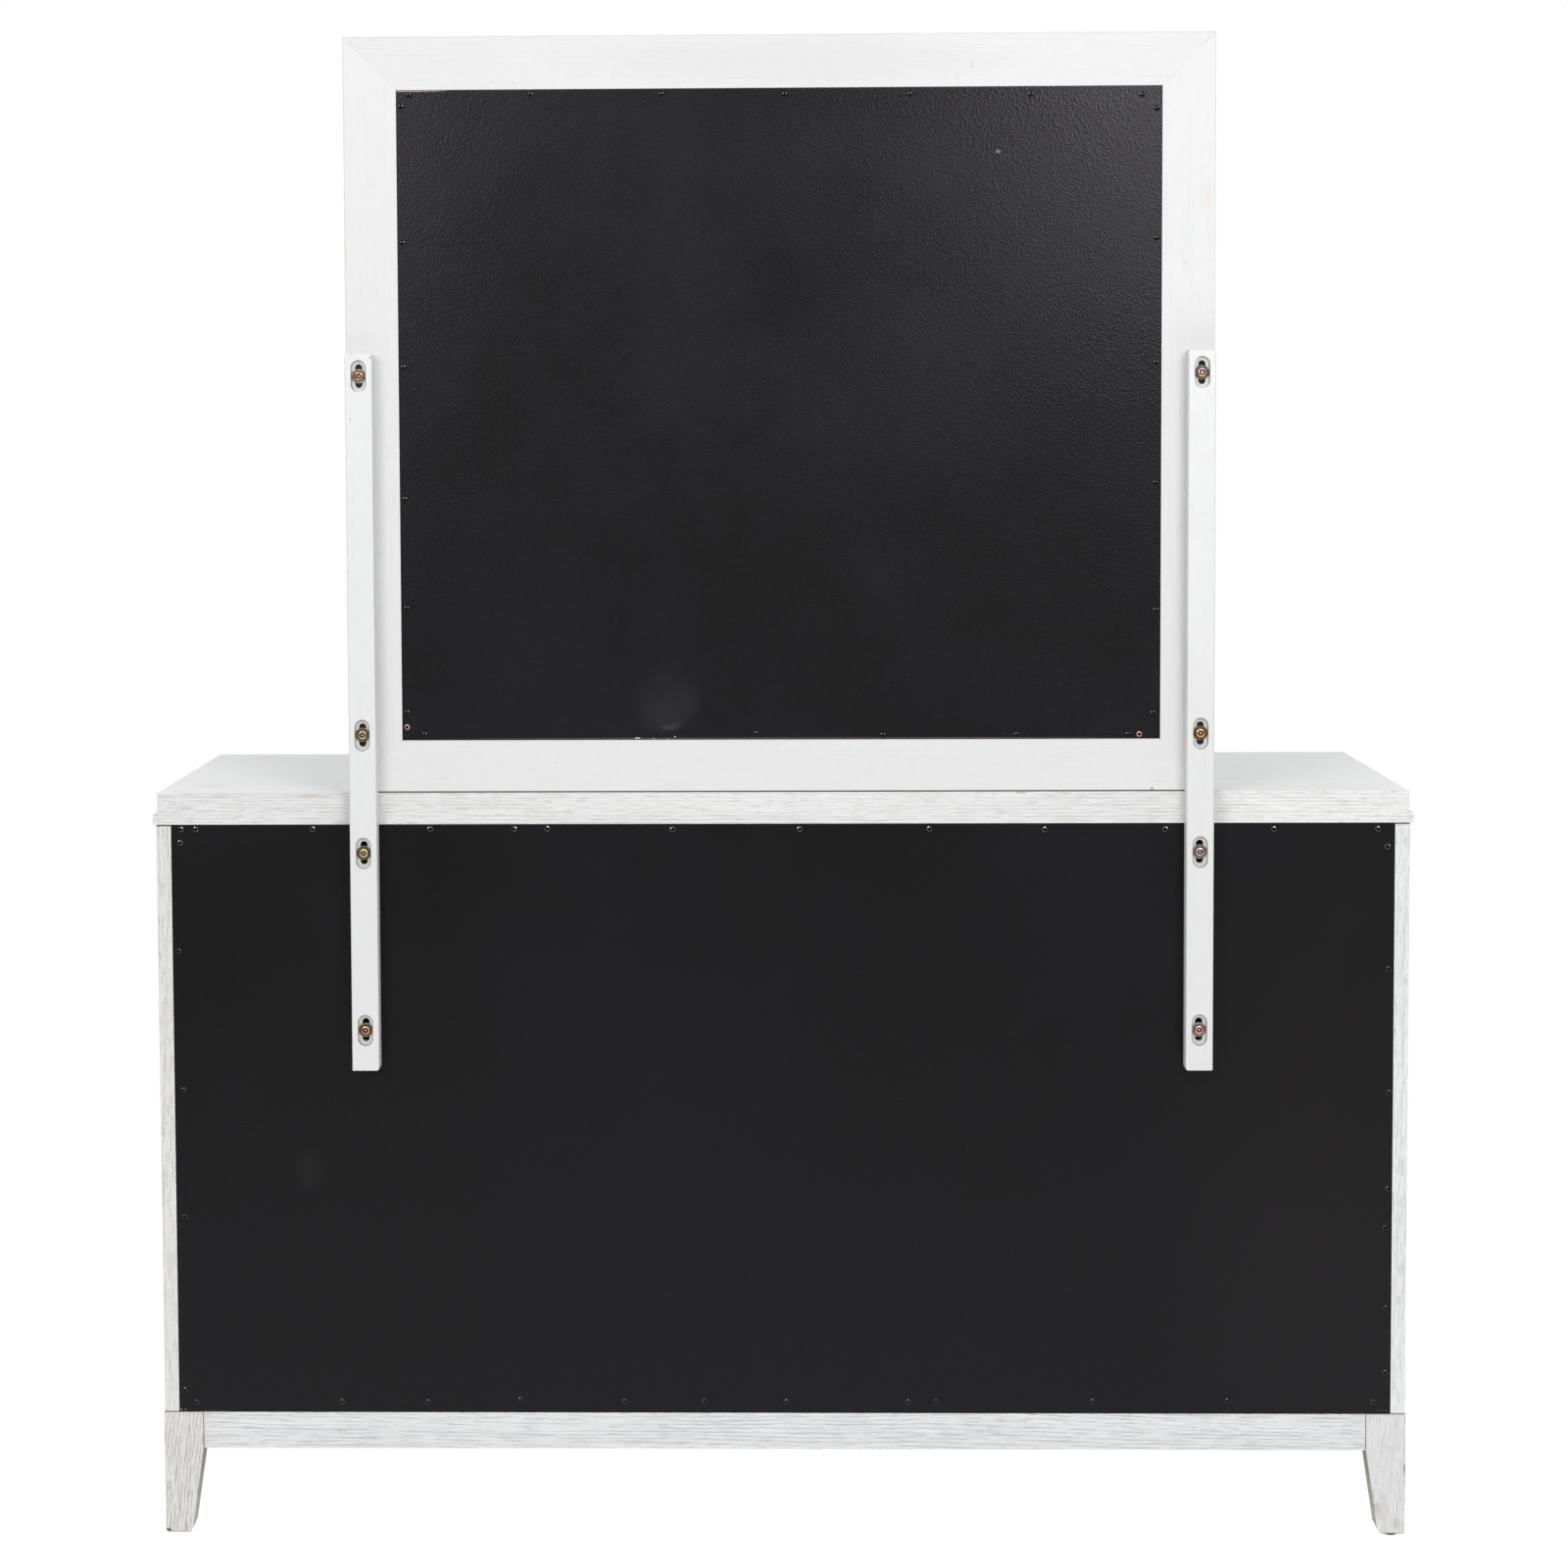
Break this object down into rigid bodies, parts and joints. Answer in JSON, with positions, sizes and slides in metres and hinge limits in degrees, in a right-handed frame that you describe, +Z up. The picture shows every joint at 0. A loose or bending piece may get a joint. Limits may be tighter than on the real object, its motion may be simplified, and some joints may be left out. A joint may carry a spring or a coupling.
{
  "type": "dresser with mirror",
  "caption": "Low wide dresser with drawers in two columns on short tapered legs, and a framed mirror bolted behind its top on two slotted supports.",
  "frame": {"origin": "on the floor, at the middle of the overall width and depth", "axes": "+Z up, the drawers face -Y and open along it, the mirror's supports are at the rear, +Y; +X is the right side as seen from the front"},
  "size_m": [1.587, 0.5052, 1.897],
  "materials": {
    "white_paint": "satin",
    "washed_wood": "matte",
    "black_board": "satin",
    "raw_wood": "matte",
    "mirror_glass": "polished",
    "dark_metal": "satin",
    "antique_brass": "satin",
    "screw_black": "satin",
    "glide_rubber": "matte"
  },
  "bodies": {
    "case": {"top_board": "washed_wood", "top_moulding": "washed_wood", "side_panel_left": "white_paint", "side_panel_right": "white_paint", "rear_post_left": "raw_wood", "rear_post_right": "raw_wood", "back_rail_upper": "raw_wood", "back_rail_middle": "raw_wood", "back_panel": "black_board", "bottom_panel": "raw_wood", "centre_partition": "raw_wood", "face_frame": "white_paint", "bottom_guide_left": "raw_wood", "bottom_guide_right": "raw_wood", "dust_panel_lower_left": "raw_wood", "dust_panel_lower_right": "raw_wood", "dust_panel_upper_left": "raw_wood", "dust_panel_upper_right": "raw_wood", "leg_front_left": "washed_wood", "leg_front_right": "washed_wood", "leg_rear_left": "washed_wood", "leg_rear_right": "washed_wood", "apron_front": "washed_wood", "apron_rear": "washed_wood", "apron_left": "washed_wood", "apron_right": "washed_wood", "case_bolt_lower_left": "antique_brass", "case_bolt_lower_right": "antique_brass", "case_bolt_upper_left": "antique_brass", "case_bolt_upper_right": "antique_brass"},
    "supports": {"support_left": "white_paint", "support_right": "white_paint"},
    "mirror": {"mirror_frame_bottom": "white_paint", "mirror_frame_top": "white_paint", "mirror_frame_left": "white_paint", "mirror_frame_right": "white_paint", "mirror_glass": "mirror_glass", "mirror_back_panel": "black_board", "mirror_bolt_lower_left": "antique_brass", "mirror_bolt_lower_right": "antique_brass", "mirror_bolt_upper_left": "antique_brass", "mirror_bolt_upper_right": "antique_brass"},
    "drawer_top_left": {"drawer_front_top_left": "white_paint", "drawer_box_top_left": "raw_wood", "drawer_pull_top_left": "dark_metal"},
    "drawer_top_right": {"drawer_front_top_right": "white_paint", "drawer_box_top_right": "raw_wood", "drawer_pull_top_right": "dark_metal"},
    "drawer_middle_left": {"drawer_front_middle_left": "white_paint", "drawer_box_middle_left": "raw_wood", "drawer_pull_middle_left": "dark_metal"},
    "drawer_middle_right": {"drawer_front_middle_right": "white_paint", "drawer_box_middle_right": "raw_wood", "drawer_pull_middle_right": "dark_metal"},
    "drawer_bottom_left": {"drawer_front_bottom_left": "white_paint", "drawer_box_bottom_left": "raw_wood", "drawer_pull_bottom_left": "dark_metal"},
    "drawer_bottom_right": {"drawer_front_bottom_right": "white_paint", "drawer_box_bottom_right": "raw_wood", "drawer_pull_bottom_right": "dark_metal"}
  },
  "joints": [
    {"name": "support_height", "type": "slide", "parent": "case", "child": "supports", "axis": [0, 0, 1], "range_m": [0, 0.01]},
    {"name": "mirror_height", "type": "slide", "parent": "supports", "child": "mirror", "axis": [0, 0, 1], "range_m": [0, 0.01]},
    {"name": "drawer_top_left_slide", "type": "slide", "parent": "case", "child": "drawer_top_left", "axis": [0, -1, 0], "range_m": [0, 0.32]},
    {"name": "drawer_top_right_slide", "type": "slide", "parent": "case", "child": "drawer_top_right", "axis": [0, -1, 0], "range_m": [0, 0.32]},
    {"name": "drawer_middle_left_slide", "type": "slide", "parent": "case", "child": "drawer_middle_left", "axis": [0, -1, 0], "range_m": [0, 0.32]},
    {"name": "drawer_middle_right_slide", "type": "slide", "parent": "case", "child": "drawer_middle_right", "axis": [0, -1, 0], "range_m": [0, 0.32]},
    {"name": "drawer_bottom_left_slide", "type": "slide", "parent": "case", "child": "drawer_bottom_left", "axis": [0, -1, 0], "range_m": [0, 0.32]},
    {"name": "drawer_bottom_right_slide", "type": "slide", "parent": "case", "child": "drawer_bottom_right", "axis": [0, -1, 0], "range_m": [0, 0.32]}
  ]
}
